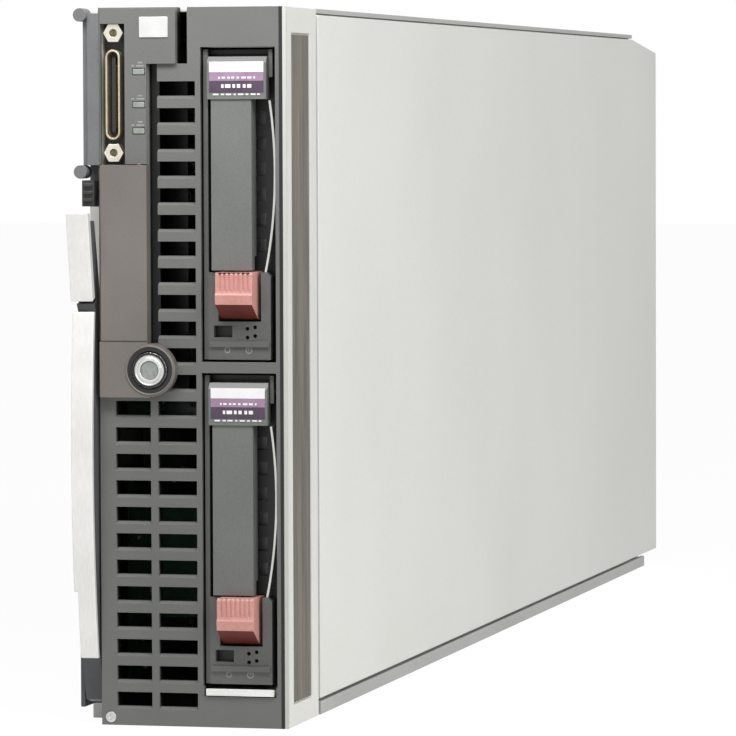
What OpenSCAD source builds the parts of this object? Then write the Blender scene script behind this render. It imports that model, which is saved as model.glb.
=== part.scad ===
// Half-height blade server standing on its bottom edge, front towards -Y, access panel on +X.
// The origin is the middle of the chassis's bottom face; sizes are in millimetres.

/* [Enclosure] */
// Width across the closed chassis
body_w = 55.6; // [52:0.1:66]
// Depth from the front face to the rear end
body_d = 511; // [462:1:580]
// Height of the face below the lower drive
foot_room = 11; // [10.6:0.1:20]
// Height of the face above the upper drive
head_room = 10.7; // [10:0.1:30]
// Chassis sheet thickness
sheet_t = 1.2; // [0.8:0.1:1.4]
// Depth of the steel frame behind the front face
frame_d = 31; // [29:0.5:32]
// Length of the sloping lead-in at the top rear corner
tail_l = 43; // [20:1:60]
// Drop of that lead-in
tail_drop = 5.2; // [2:0.1:8]

/* [Access panel] */
// Panel sheet thickness
panel_t = 1.2; // [0.8:0.1:1.4]
// Seam between the frame and the panel's front edge
panel_seam = 2; // [1:0.1:3]
// Height of the chassis lip below the panel
lip_h = 3.4; // [2:0.1:3.8]
// Hooks along each long edge
hook_n = 4; // [2:1:6]
// Length of one hook
hook_l = 14; // [8:1:20]

/* [Front face] */
// Thickness of the moulded front
bezel_t = 4; // [3:0.1:5]
// Width of the lever column left of the front
column_w = 6.6; // [6.2:0.1:8]
// Height of a vent slot
slot_h = 3.6; // [2:0.1:4.6]
// Spacing of the vent slots
slot_pitch = 6.72; // [5.5:0.01:9]
// Height of the bottom slot's centre
slot_z0 = 6.7; // [5:0.1:9]
// How far the button plate stands proud of the front
plate_proud = 2.5; // [1.5:0.1:4]
// How far the connector area stands proud of the front
brow_proud = 1; // [0.5:0.1:2]

/* [Power button] */
// Height of the plate that holds the power button
button_plate_h = 14; // [13:0.1:18]
// Radius of the boss around the power button
boss_r = 6.7; // [6:0.1:8]
// Radius of the power button
power_r = 4.5; // [3:0.1:4.8]
// Radius of the lens in its middle
lens_r = 2.4; // [1:0.1:2.6]
// Running gap around a pressed button
button_gap = 0.35; // [0.2:0.05:0.5]

/* [Release lever] */
// Height of the lever's pivot
pivot_z = 10; // [9:0.5:12]
// Distance of the pivot behind the front face
pivot_y = 7; // [6:0.5:8]
// Radius of the pivot pin
pivot_r = 1.6; // [1.2:0.1:2]
// Length of the grip above the bowed part
grip_l = 25; // [18:0.5:30]
// Room between the grip and the trim for the latch button
latch_room = 12; // [10:0.5:14]

/* [Drives] */
// Width of a disk
disk_w = 70; // [69:0.1:70.4]
// Thickness of a disk
disk_t = 15; // [9.5:0.1:15.4]
// Length of a disk
disk_l = 100; // [90:0.5:101]
// Height of each of a carrier's rails
rail_h = 3.2; // [2.4:0.1:4]
// Width of one carrier
carrier_w = 18; // [17.4:0.1:18.4]
// Gap between the two carriers
carrier_gap = 4; // [3.6:0.1:8]

/* [Board and cooling] */
// Gap between the chassis wall and the system board
standoff_h = 4; // [3:0.1:5]
// Thickness of a circuit board
board_t = 1.6; // [1:0.1:2.4]
// Fins on each heat sink
fin_n = 26; // [12:1:30]
// Thickness of one fin
fin_t = 0.7; // [0.4:0.1:1.2]
// Height of a memory module above the board
module_h = 32; // [18:0.5:36]
// Memory modules in each bank
module_n = 6; // [2:1:6]
// Spacing of the memory modules
module_pitch = 11.6; // [9:0.1:12]

/* [Rear connectors] */
// Radius of the guide-pin bores
guide_r = 3.5; // [2.5:0.1:4]
// Depth of the guide-pin bores
guide_l = 16; // [8:0.5:20]

/* [Hidden] */
$fn = 48;
eps = 0.01;
gap = 0.3;
carrier_h = disk_w + 2 * rail_h + 1.6;
carrier_z = [foot_room + carrier_h + carrier_gap, foot_room];
body_h = foot_room + 2 * carrier_h + carrier_gap + head_room;
left_x = -body_w / 2;
right_x = body_w / 2;
skin_t = 1;
wall_x = left_x + sheet_t;
panel_x = right_x - panel_t;
face_x = left_x + column_w;
rear_y = body_d;
top_z = body_h;
panel_y = frame_d + panel_seam;
latch_y = panel_y + 36;
panel_z0 = lip_h + 0.8;
panel_z1 = top_z - sheet_t - 0.4;
ledge_w = 4;
hook_t = 1;
hook_reach = 2;
ledge_x = panel_x - gap - sheet_t;
foot_x = ledge_x - gap - hook_t;
rear_gap = panel_t + 2 * gap + sheet_t + hook_t + 1.6;
hook_y0 = panel_y + 14;
hook_step = (rear_y - tail_l - hook_l - 20 - hook_y0) / (hook_n - 1);
// Drive bays
jamb_w = 1.8;
bay_x1 = right_x - skin_t - jamb_w - 0.1;
bay_x0 = bay_x1 - carrier_w - 1.4;
carrier_x0 = bay_x0 + 0.4;
carrier_x1 = carrier_x0 + carrier_w;
tray_y = 6;
disk_y = tray_y + 5;
disk_x = carrier_x0 + (carrier_w - disk_t) / 2 + 0.2;
disk_z = rail_h + 0.8;
mid_z = disk_z + disk_w / 2;
socket_half = 17;
cage_t = 1;
cage_x = bay_x0 - 0.2;
shelf_x = right_x - 2.2;
socket_l = 5.4;
backplane_y = disk_y + disk_l + 0.4 + socket_l;
cage_y1 = backplane_y + board_t + 1.8;
bay_top = carrier_z[0] + carrier_h + 0.6;
shelf_z = [foot_room - 4.1, carrier_z[0] - 2.4, bay_top + 0.8 - cage_t];
tab_z = shelf_z[0] + 1.3;
ejector_x = [carrier_x0 + 2.4, carrier_x0 + 12.9];
head_x = [carrier_x0 + 1.5, carrier_x0 + 16.8];
block_x = [carrier_x0 + 1.3, carrier_x1 - 0.5];
pocket_x = [carrier_x0 + 3.9, carrier_x0 + 15];
button_x = [pocket_x[0] + 0.5, pocket_x[0] + 10.1];
button_z = [10, 22.1];
hinge_y = 3.6;
hinge_z = carrier_h - 3.6;
hinge_r = 1.2;
// Front face
slot_n = floor((top_z - 20.4 - slot_z0) / slot_pitch) + 1;
slot_x = [face_x + 4.1, face_x + 13.3, face_x + 15.2, bay_x0 - 1.4];
plate_z1 = top_z - 39.7;
plate_z0 = plate_z1 - 58.6;
plate_x0 = face_x + 1.1;
plate_x1 = face_x + 13.2;
boss_x = face_x + 13.8;
boss_z = plate_z0 + 6.9;
plate_seam_z = plate_z0 + button_plate_h;
trim_z0 = plate_z1;
grip_top = trim_z0 - latch_room;
bow_top = grip_top - grip_l;
recess_x = [face_x + 0.8, face_x + 7.2];
recess_z = [top_z - 39.6, top_z - 4.1];
brow_x1 = face_x + 20.5;
brow_z = top_z - 14.2;
socket_x = face_x + 4;
socket_z = [recess_z[0] + 6.3, recess_z[1] - 6.5];
jack_z = [recess_z[0] + 3, recess_z[1] - 2.3];
jack_r = 1.9;
jack_hole_r = 1;
pipe_z = [top_z - 16.2, top_z - 24.5, top_z - 31.1];
// Board
board_x = wall_x + standoff_h;
top_x = board_x + board_t;
board_y0 = 24;
board_y1 = rear_y - 24;
board_z = [5, top_z - 6];
socket_h = 4;
chip_h = 3.4;
sink_base = 4;
sink_l = 90;
sink_w = 78;
sink_x = top_x + socket_h + chip_h;
fin_top = right_x - 7;
tail_y = rear_y - 76;
module_l = 133.4;
bank_l = module_l + 8;
vrm_l = 20;
lower_z = 50;
upper_z = top_z - 49.7;
cpu_y0 = cage_y1 + vrm_l + 3 + sink_l / 2;
bank_y0 = cage_y1 + 9;
cpu_y1 = (bank_y0 + bank_l + vrm_l + tail_y) / 2;
bank_y1 = (cpu_y0 + sink_l / 2 + tail_y - bank_l) / 2;
cpu = [[cpu_y0, lower_z], [cpu_y1, upper_z]];
bank = [[bank_y0, upper_z - 29.5], [bank_y1, lower_z - 33.4]];
stand_pts = [[34, 20], [34, top_z - 21.7], [cage_y1 + 3, 14], [cage_y1 + 3, 93],
             [cpu_y0 + sink_l / 2 + 6, 93], [bank_y0 + bank_l + 5, top_z - 15.7], [tail_y - 5, 93],
             [tail_y - 5, 9], [board_y1 - 30, 90], [board_y1 - 18, top_z - 16.7],
             [board_y1 - 6, 10.5]];
card_x = top_x + 14;

// Everything is drawn from the front face and bottom edge, then centred along Y.
module seat() translate([0, -body_d / 2, 0]) children();
// A block between two places on each axis.
module block(x, y, z)
    translate([x[0], y[0], z[0]]) cube([x[1] - x[0], y[1] - y[0], z[1] - z[0]]);
// A flat outline in Y and Z, thickened along X.
module side_plate(x0, t) translate([x0, 0, 0]) rotate([90, 0, 90]) linear_extrude(t) children();
// A flat outline in X and Z, thickened backwards from a place on Y.
module face_plate(y0, t)
    translate([0, y0 + t, 0]) rotate([90, 0, 0]) linear_extrude(t) children();
// A round bar between two places along X.
module bar_x(r, x0, x1, y, z)
    translate([x0, y, z]) rotate([0, 90, 0]) cylinder(r = r, h = x1 - x0);
// A round bar between two places along Y.
module bar_y(r, y0, y1, x, z)
    translate([x, y1, z]) rotate([90, 0, 0]) cylinder(r = r, h = y1 - y0);
// Side outline of the chassis with its sloping rear corners, drawn in by inset.
function chassis_outline(inset, y0) = [
    [y0, inset], [rear_y - 8, inset], [rear_y - inset, 3 + inset],
    [rear_y - inset, top_z - tail_drop - inset], [rear_y - tail_l, top_z - inset],
    [y0, top_z - inset]];

// Folded steel tray: left wall, top, bottom and rear walls, with ledges for the panel's hooks.
module chassis_pan() color("silver") seat() {
    difference() {
        side_plate(left_x, sheet_t) polygon(chassis_outline(0, frame_d));
        for (p = stand_pts) bar_x(1.6, left_x - 1, wall_x + 1, p[0], p[1]);
    }
    difference() {
        side_plate(wall_x, panel_x - gap - wall_x) difference() {
            polygon(chassis_outline(0, frame_d));
            polygon(chassis_outline(sheet_t, frame_d - 1));
        }
        block([right_x - rear_gap, right_x], [rear_y - tail_l, rear_y + 1], [-1, top_z + 1]);
        block([wall_x + 5, right_x], [rear_y - 5, rear_y + 1], [12, top_z - 38]);
        for (i = [0:5]) block([wall_x + 5 + i * 7, wall_x + 9 + i * 7],
            [rear_y - 5, rear_y + 1], [top_z - 34, top_z - 12]);
        latch_window();
    }
    for (z = [sheet_t, top_z - sheet_t - ledge_w])
        block([ledge_x, ledge_x + sheet_t], [frame_d, rear_y - tail_l], [z, z + ledge_w]);
    block([panel_x - gap, right_x], [panel_y, rear_y - 23], [0, sheet_t]);
    block([right_x - sheet_t, right_x], [panel_y, rear_y - 23], [sheet_t, lip_h]);
    block([panel_x - gap, right_x - gap], [panel_y, rear_y - tail_l], [top_z - sheet_t, top_z]);
}

// Opening in the top wall for the panel's latch.
module latch_window() block([-9, 9], [latch_y, latch_y + 18], [top_z - 5, top_z + 1]);

// Steel frame behind the front face: right wall with a joggle for the gasket, top, bottom and
// a left wall that steps back behind the lever.
joggle_y = [5.4, 24.6];
joggle_z = [5.6, top_z - 6.6];
step_y = 14;
module front_frame() color("gainsboro") seat() difference() {
    union() {
        block([right_x - skin_t, right_x], [0.8, frame_d], [0, top_z]);
        block([right_x - skin_t - 0.6, right_x - 0.6], joggle_y, joggle_z);
        block([face_x, right_x], [bezel_t, frame_d], [0, sheet_t]);
        block([face_x, right_x], [bezel_t, frame_d], [top_z - sheet_t, top_z]);
        block([left_x, face_x], [step_y, frame_d], [0, sheet_t]);
        block([left_x, face_x], [step_y, frame_d], [top_z - sheet_t, top_z]);
        block([face_x - 0.2, face_x + skin_t - 0.2], [1, step_y + skin_t], [0, top_z]);
        block([left_x, face_x], [step_y, step_y + skin_t], [0, top_z]);
        block([left_x, wall_x], [step_y, frame_d], [0, top_z]);
    }
    block([right_x - 0.6, right_x + 1], joggle_y, joggle_z);
    bar_x(pivot_r, left_x, face_x + 2, pivot_y, pivot_z);
}

// Conductive gasket in the joggle: a flat strip with rounded ribs along its height.
rib_n = 6;
module emi_gasket() color("#85817a") seat() {
    rib_step = (joggle_y[1] - joggle_y[0] - 0.8) / rib_n;
    block([right_x - 0.6, right_x - 0.35], [joggle_y[0] + 0.4, joggle_y[1] - 0.4],
        [joggle_z[0] + 0.4, joggle_z[1] - 0.4]);
    for (i = [0:rib_n - 1])
        translate([right_x - 0.9, joggle_y[0] + 0.4 + (i + 0.5) * rib_step, joggle_z[0] + 0.4])
            intersection() {
                cylinder(r = 0.9, h = joggle_z[1] - joggle_z[0] - 0.8);
                translate([0.55 - eps, -1, 0]) cube([1, 2, joggle_z[1]]);
            }
}

// Moulded front: slotted vents, drive bays, the raised connector brow and its clearances.
module front_bezel() color("#6f6f6d") seat() difference() {
    union() {
        block([face_x, right_x], [0, 0.8], [0, top_z]);
        block([face_x + 0.9, right_x - skin_t - 0.7], [0.8, bezel_t], [0, top_z]);
        face_plate(-brow_proud, brow_proud)
            polygon([[face_x + 0.6, plate_z1 + 0.2], [plate_x1 - 0.3, plate_z1 + 0.2],
                [plate_x1 - 0.3, brow_z], [brow_x1, brow_z], [brow_x1, top_z - 0.3],
                [face_x + 0.6, top_z - 0.3]]);
    }
    vent_slots();
    block([plate_x1, plate_x1 + 2.2], [-1, 3], [boss_z + boss_r, brow_z]);
    block([brow_x1, brow_x1 + 2.8], [-2, bezel_t + 1], [brow_z, top_z + 1]);
    for (z0 = carrier_z)
        block([bay_x0, bay_x1], [-1, bezel_t + 1], [z0 - 0.6, z0 + carrier_h + 0.6]);
    block([bay_x0 + 0.3, bay_x1 - 0.3], [-1, bezel_t + 1], [tab_z - 0.4, carrier_z[1]]);
    block(recess_x, [-2, bezel_t + 1], recess_z);
    bar_y(power_r + button_gap, -3, bezel_t + 1, boss_x, boss_z);
    for (z = pipe_z) pipe(z, 0.15);
    bar_y(1.5, -1, 0.6, face_x + 2.4, 2);
}
// The vent slots: a full right-hand column, and a left-hand column below the button plate. The
// top edge of each bar between them slopes to the front.
bar_slope = [0.9, 0.7];
module vent_slots() for (i = [0:slot_n - 1]) {
    z = slot_z0 + i * slot_pitch;
    vent_slot(slot_x[2], slot_x[3], z);
    if (z + slot_h / 2 < plate_z0 - 0.8) vent_slot(slot_x[0], slot_x[1], z);
}
module vent_slot(x0, x1, z) side_plate(x0, x1 - x0)
    polygon([[-1, z - slot_h / 2 - bar_slope[1]], [0, z - slot_h / 2 - bar_slope[1]],
        [bar_slope[0], z - slot_h / 2], [bezel_t + 1, z - slot_h / 2],
        [bezel_t + 1, z + slot_h / 2], [-1, z + slot_h / 2]]);
// One status light pipe, grown by c for its hole.
module pipe(z, c)
    block([face_x + 9.4 - c, face_x + 12.4 + c], [-brow_proud - 0.2 - c, 15.6 + c],
        [z - 0.7 - c, z + 0.7 + c]);

// Flat plate over the front: a label area above, and below its seam the slightly wider part
// with the round boss that guides the power button.
seam_w = 0.35;
module button_plate() color("#85817c") seat() difference() {
    union() {
        face_plate(-plate_proud, plate_proud) {
            polygon([[plate_x0, plate_seam_z - 1], [plate_x1, plate_seam_z - 1],
                [plate_x1, plate_z1], [plate_x0, plate_z1]]);
            polygon([[plate_x0 - 0.4, plate_z0], [boss_x, plate_z0], [boss_x, boss_z + 6.3],
                [plate_x1, boss_z + 6.3], [plate_x1, plate_seam_z], [plate_x0 - 0.4, plate_seam_z]]);
        }
        bar_y(boss_r, -plate_proud, 0, boss_x, boss_z);
        translate([boss_x, -plate_proud, boss_z]) rotate([90, 0, 0])
            rotate_extrude() translate([boss_r - 0.6, 0]) circle(0.25);
    }
    block([plate_x0 - 1, plate_x1 + 1], [-plate_proud - 1, -plate_proud + 0.4],
        [plate_seam_z, plate_seam_z + seam_w]);
    bar_y(power_r + button_gap, -plate_proud - 1, 1, boss_x, boss_z);
}

// Trim at the top of the lever column, with its two round lugs and the latch button's guide.
trim_x0 = left_x + 2.6;
module left_trim() color("#77787a") seat() {
    block([trim_x0, face_x - 0.4], [0, step_y], [trim_z0, top_z - 1.4]);
    block([trim_x0 + 1.3, face_x + 0.5], [-0.8, 0], [trim_z0, top_z - 1.4]);
    for (z = [trim_z0 - 1.7, top_z - 1.8])
        bar_y(1.7, -2, 3, trim_x0 - 0.3, z);
    block([trim_x0, face_x - 0.4], [6, step_y], [grip_top + 1.4, trim_z0]);
}

// Access panel: a flat sheet with sloping rear corner, folded rear edge and hooks inside.
module panel_outline(inset, y0)
    polygon([[y0, panel_z0 + inset], [rear_y - 8, panel_z0 + inset],
        [rear_y - inset, panel_z0 + inset], [rear_y - inset, top_z - tail_drop - 0.4 - inset],
        [rear_y - tail_l, panel_z1 - inset], [y0, panel_z1 - inset]]);
fold_y = rear_y - tail_l + 1;
function fold_z(y) = panel_z1
    - (y - rear_y + tail_l) * (panel_z1 - top_z + tail_drop + 0.4) / tail_l;
module access_panel() color("#e1e2da") seat() {
    side_plate(panel_x, panel_t) panel_outline(0, panel_y);
    side_plate(right_x - rear_gap + 0.6, rear_gap - panel_t - 0.6)
        polygon([[fold_y, fold_z(fold_y)], [rear_y, fold_z(rear_y)], [rear_y, panel_z0 + 20],
            [rear_y - panel_t, panel_z0 + 20], [rear_y - panel_t, fold_z(rear_y) - panel_t],
            [fold_y, fold_z(fold_y) - panel_t]]);
    for (i = [0:hook_n - 1]) {
        y = hook_y0 + i * hook_step;
        hook(y, sheet_t + ledge_w + gap, -1);
        hook(y, top_z - sheet_t - ledge_w - gap, 1);
    }
}
// One hook: a stem past the ledge's free edge and a foot behind the ledge.
module hook(y, z, dir) {
    stem_z = dir > 0 ? z - hook_t : z;
    foot_z = dir > 0 ? z - hook_t : z - hook_reach;
    block([foot_x, panel_x], [y, y + hook_l], [stem_z, stem_z + hook_t]);
    block([foot_x, foot_x + hook_t], [y, y + hook_l], [foot_z, foot_z + hook_t + hook_reach]);
}

// Latch button in the top wall: a ribbed pad on a guided stem with its catch.
latch_gap = 0.5;
module panel_latch() color("#3e6fa8") seat() {
    block([-9 + latch_gap, 9 - latch_gap], [latch_y + latch_gap, latch_y + 18 - latch_gap],
        [top_z - 2.6, top_z - 0.4]);
    for (i = [0:4])
        block([-6, 6], [latch_y + 3.5 + i * 2.6, latch_y + 4.5 + i * 2.6],
            [top_z - 0.4 - eps, top_z]);
    block([-3, 3], [latch_y + 6, latch_y + 12], [top_z - 5, top_z - 2.6]);
}

// Rivets that join the frame to the tray, seen as low domes on the bottom and left walls.
module chassis_rivets() color("gainsboro") seat()
    for (z = [20, 90, 160]) for (y = [step_y + 6, frame_d - 5])
        translate([wall_x, y, z]) rotate([0, 90, 0]) cylinder(r1 = 2.2, r2 = 1.2, h = 0.8);

// Small screws in the front face and the system board.
module panel_screws() color("silver") seat() {
    difference() {
        bar_y(1.4, -0.1, 0.6, face_x + 2.4, 2);
        block([face_x + 1.6, face_x + 3.2], [-1, 0.2], [1.8, 2.2]);
        block([face_x + 2.2, face_x + 2.6], [-1, 0.2], [1.2, 2.8]);
    }
    for (p = stand_pts) difference() {
        bar_x(2.6, top_x, top_x + 1.8, p[0], p[1]);
        block([top_x + 1, top_x + 3], [p[0] - 1.6, p[0] + 1.6], [p[1] - 0.3, p[1] + 0.3]);
        block([top_x + 1, top_x + 3], [p[0] - 0.3, p[0] + 0.3], [p[1] - 1.6, p[1] + 1.6]);
    }
}

// Front connector: insulating body, drawn shell with round ends, and its two jack sockets.
shell_y = -0.8;
body_y = [3, 15.6];
module io_connector_body() color("#20201f") seat() difference() {
    union() {
        block([recess_x[0] + 0.2, recess_x[1] - 0.2], body_y, [recess_z[0] + 0.2, recess_z[1] - 0.2]);
        block([socket_x - 0.5, socket_x + 0.5], [0.4, body_y[0]], [socket_z[0] + 2, socket_z[1] - 2]);
    }
    for (z = jack_z) bar_y(jack_r, 2, 9, socket_x, z);
}
module io_connector_shell() color("#b9a98c") seat() face_plate(shell_y, body_y[0] - shell_y)
    difference() {
        shell_outline(1.9);
        shell_outline(1.4);
    }
module shell_outline(r) {
    for (z = [socket_z[0] + 1.9, socket_z[1] - 1.9]) translate([socket_x, z]) circle(r);
    translate([socket_x - r, socket_z[0] + 1.9]) square([2 * r, socket_z[1] - socket_z[0] - 3.8]);
}
module io_jack_sockets() color("#d8d2c4") seat() for (z = jack_z) difference() {
    union() {
        translate([socket_x, body_y[0], z]) rotate([90, 0, 0]) cylinder(r = 2.6, h = 3.2, $fn = 6);
        bar_y(jack_r - 0.02, body_y[0], 9, socket_x, z);
    }
    bar_y(jack_hole_r, -3, 8, socket_x, z);
}
module front_board() color("#1f5b3a") seat() difference() {
    block([face_x + 1.2, face_x + 19], [body_y[1], body_y[1] + board_t], [plate_z0, top_z - 3]);
    bar_y(1.5, 0, 30, face_x + 17, top_z - 8);
}
module light_pipes() color("#dfe8df") seat() for (z = pipe_z) pipe(z, 0);

// Power button: a dished metal cap on a stem, with a lens in its middle.
power_y = -plate_proud - 0.4;
module power_button() color("#c9c9c6") seat() difference() {
    union() {
        bar_y(power_r, power_y, 5.5, boss_x, boss_z);
        bar_y(2, 5.5, body_y[1] - 1.6, boss_x, boss_z);
    }
    bar_y(lens_r, power_y - 1, power_y + 2.4, boss_x, boss_z);
    translate([boss_x, power_y, boss_z]) rotate([90, 0, 0])
        rotate_extrude() translate([(power_r + lens_r) / 2, 0]) circle(0.4);
}
module power_lens() color("#8d918f") seat() translate([boss_x, power_y + 2.4, boss_z])
    rotate([90, 0, 0]) cylinder(r = lens_r - 0.01, h = 2.2);

// Steel cheek outside the lever, joined to the step of the front frame.
module lever_bracket() color("#55565a") seat() difference() {
    union() {
        side_plate(left_x, sheet_t) polygon([[3.4, 4], [step_y, 4], [step_y, 34], [8, 34],
            [3.4, 29]]);
        block([wall_x, face_x - 0.4], [step_y - sheet_t, step_y], [4, 34]);
    }
    bar_x(pivot_r, left_x - 1, wall_x + 1, pivot_y, pivot_z);
}
lever_x = [wall_x + gap, face_x - 0.5];
bow_r = 310;
bow_y = -5.6 + bow_r;
bow_z = 68;
// The bow: a band between two arcs about the same axis, drawn through the same heights.
bow_step = 4;
function bow_arc(r) = [for (k = [0:25]) [bow_y - sqrt(r * r - pow(8 + k * bow_step - bow_z, 2)),
    8 + k * bow_step]];
function bow_back(z) = bow_y - sqrt(pow(bow_r - 1.5, 2) - pow(z - bow_z, 2)) + 0.05;
function reversed(v) = [for (i = [len(v) - 1:-1:0]) v[i]];
module bow(x, r0, r1, z) intersection() {
    side_plate(x[0], x[1] - x[0]) polygon(concat(bow_arc(r1), reversed(bow_arc(r0))));
    block([x[0] - 1, x[1] + 1], [-20, 40], z);
}
// Back of the grip at a height.
function grip_back(z) = -2.1 - 4.2 * (z - bow_top - 3.4) / (grip_top - bow_top - 3.4);
// Lever body: a bowed bar with an eye round the pivot pin and a hook below it.
module release_lever() color("#4b4c4f") seat() difference() {
    union() {
        bow(lever_x, bow_r - 8.6, bow_r - 1.5, [26, bow_top - 4]);
        side_plate(lever_x[0], lever_x[1] - lever_x[0]) polygon([[bow_back(26), 26], [6.2, 26],
            [11.6, 12], [11.2, 6], [6, 5.2], [3.2, 6], [1.7, 12]]);
        side_plate(lever_x[0], lever_x[1] - lever_x[0]) polygon([[bow_back(bow_top), bow_top - 4.2],
            [3.4, bow_top - 4.2], [2.4, bow_top + 3.4], [-0.4, bow_top + 4.6],
            [-1.2, bow_top + 2.4], [-3.2, bow_top + 2], [bow_back(bow_top), bow_top]]);
        side_plate(lever_x[0], lever_x[1] - lever_x[0]) polygon([[-2.1, bow_top + 3.4],
            [2.4, bow_top + 3.2], [-2.6, grip_top - 2], [grip_back(grip_top - 2), grip_top - 2]]);
    }
    bar_x(pivot_r + 0.05, lever_x[0] - 1, lever_x[1] + 1, pivot_y, pivot_z);
}
// Bright strip on the front of the lever and the flared grip above it.
module lever_strip() color("#e4e4e2") seat() {
    bow([left_x + 0.5, face_x - 0.5], bow_r - 1.5, bow_r, [34, bow_top]);
    bow(lever_x, bow_r - 1.5, bow_r, [17, 34]);
    side_plate(left_x + 0.3, column_w - 0.8) polygon([[-2.1, bow_top + 3.4],
        [-4.3, bow_top + 2.6], [-8.5, grip_top], [grip_back(grip_top), grip_top]]);
}
module lever_pin() color("silver") seat()
    bar_x(pivot_r, left_x, face_x + skin_t - 0.2, pivot_y, pivot_z);
// Latch button above the grip, ribbed for a fingertip.
module latch_button() color("#3c3c3d") seat() {
    z0 = grip_top + 1.6;
    z1 = trim_z0 - 3.8;
    block([trim_x0 + 0.2, face_x - 0.6], [-2.2, 3.4], [z0, z1]);
    for (z = [z0 + 1.2, z0 + 3.1, z0 + 5])
        block([trim_x0 + 0.6, face_x - 1], [-3, -2.2], [z, z + 0.8]);
}

// Pull tab that carries the unit's label, in its slot under the lower drive.
module pull_tab() color("#e9e9e6") seat() {
    block([bay_x0 + 0.9, bay_x1 - 0.9], [0.4, 70], [tab_z, tab_z + 1.1]);
    block([bay_x0 + 0.9, bay_x1 - 0.9], [-0.6, 0.4], [tab_z - 0.1, tab_z + 1.6]);
}

// Drive cage: left wall with vent windows, two full shelves and a shorter one between the bays.
module drive_cage() color("lightgray") seat() {
    difference() {
        block([cage_x - 1, cage_x], [bezel_t, cage_y1], [shelf_z[0], shelf_z[2] + cage_t]);
        for (z0 = carrier_z, i = [0:3])
            block([cage_x - 2, cage_x + 1], [20 + i * 24, 36 + i * 24], [z0 + 12, z0 + 66]);
    }
    for (z = [shelf_z[0], shelf_z[2]])
        block([cage_x, shelf_x], [bezel_t, cage_y1], [z, z + cage_t]);
    block([cage_x, shelf_x], [bezel_t, backplane_y - 0.4], [shelf_z[1], shelf_z[1] + cage_t]);
}
module drive_backplane() color("#1f5b3a") seat() difference() {
    block([cage_x, shelf_x - 3], [backplane_y, backplane_y + board_t],
        [shelf_z[0] + cage_t, shelf_z[2]]);
    for (z0 = carrier_z, z = [5, mid_z + socket_half + 5])
        block([cage_x + 4, shelf_x - 6], [backplane_y - 1, backplane_y + board_t + 1],
            [z0 + z, z0 + z + 10]);
}
module backplane_sockets() color("#242424") seat() for (z0 = carrier_z)
    block([disk_x + 4, disk_x + 9], [backplane_y - socket_l, backplane_y],
        [z0 + mid_z - socket_half, z0 + mid_z + socket_half]);

// Drive carrier: a moulded front with a recess for the ejector, a forked housing round the
// release button, and two rails beside the disk.
post_top = 22;
module carrier(z0) difference() {
    union() {
        block([carrier_x0, carrier_x1], [tray_y, tray_y + 2], [z0, z0 + carrier_h]);
        block([carrier_x0, carrier_x0 + 1.2], [1.4, tray_y], [z0, z0 + carrier_h]);
        face_plate(0.6, tray_y - 0.6) polygon([[block_x[0], z0], [block_x[1], z0],
            [block_x[1], z0 + post_top - 1], [block_x[1] - 1, z0 + post_top],
            [pocket_x[1], z0 + post_top], [pocket_x[1], z0 + 9.6], [pocket_x[0], z0 + 9.6],
            [pocket_x[0], z0 + post_top], [block_x[0], z0 + post_top]]);
        block([block_x[0] + 0.4, block_x[1] - 0.4], [0, 0.6], [z0 + 3.2, z0 + 4.6]);
        block([carrier_x0, carrier_x1], [4.8, tray_y], [z0 + carrier_h - 1.2, z0 + carrier_h]);
        block([carrier_x1 - 1, carrier_x1], [1.4, tray_y], [z0 + carrier_h - 7, z0 + carrier_h]);
        for (z = [z0 + disk_z - rail_h, z0 + disk_z + disk_w])
            block([disk_x, disk_x + disk_t - 1], [tray_y + 2, disk_y + disk_l], [z, z + rail_h]);
        block([carrier_x0 + 0.4, carrier_x0 + 1.4], [tray_y + 2, 60],
            [z0 + 0.8, z0 + disk_z + 3.2]);
        block([carrier_x0 + 0.4, disk_x + 1], [tray_y + 2, 60], [z0 + 0.8, z0 + 2.2]);
    }
    block([pocket_x[0] + 0.2, pocket_x[1] - 0.6], [tray_y - 1, tray_y + 3],
        [z0 + 9.7, z0 + button_z[1] + 0.3]);
    for (i = [0:5])
        block([carrier_x0 + 3, carrier_x1 - 3], [tray_y - 1, tray_y + 3],
            [z0 + 27 + i * 6.4, z0 + 30.4 + i * 6.4]);
    block([pocket_x[0] - 1.2, pocket_x[0] + 3.6], [-1, 3.4], [z0 + 5.6, z0 + 8.6]);
    for (x = [11.4, 13.4], z = [5.6, 7.8])
        bar_y(0.5, -1, 3.6, carrier_x0 + x, z0 + z + (x - 11.4) * 0.2);
    bar_x(hinge_r, carrier_x0 - 1, carrier_x1 + 1, hinge_y, z0 + hinge_z);
    for (y = [disk_y + 14, disk_y + 90.6]) translate([disk_x + 4, y, z0])
        cylinder(r = 1.4, h = disk_z);
}
// Disk: cast base and pressed cover with its spindle boss and breather ring.
module disk(z0) difference() {
    union() {
        block([disk_x, disk_x + disk_t - 1.2], [disk_y, disk_y + disk_l],
            [z0 + disk_z, z0 + disk_z + disk_w]);
        block([disk_x + disk_t - 1.2, disk_x + disk_t - 0.4], [disk_y + 2, disk_y + disk_l - 10],
            [z0 + disk_z + 2, z0 + disk_z + disk_w - 2]);
        bar_x(25, disk_x + disk_t - 0.4, disk_x + disk_t, disk_y + 34, z0 + mid_z);
    }
    bar_x(8, disk_x + disk_t - 0.5, disk_x + disk_t + 1, disk_y + 34, z0 + mid_z);
    bar_x(11, disk_x - 1, disk_x + 0.6, disk_y + 34, z0 + mid_z);
    block([disk_x + 4.4, disk_x + 8.6], [disk_y + disk_l - 5, disk_y + disk_l + 1],
        [z0 + mid_z - socket_half + 0.4, z0 + mid_z + socket_half - 0.4]);
}
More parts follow.
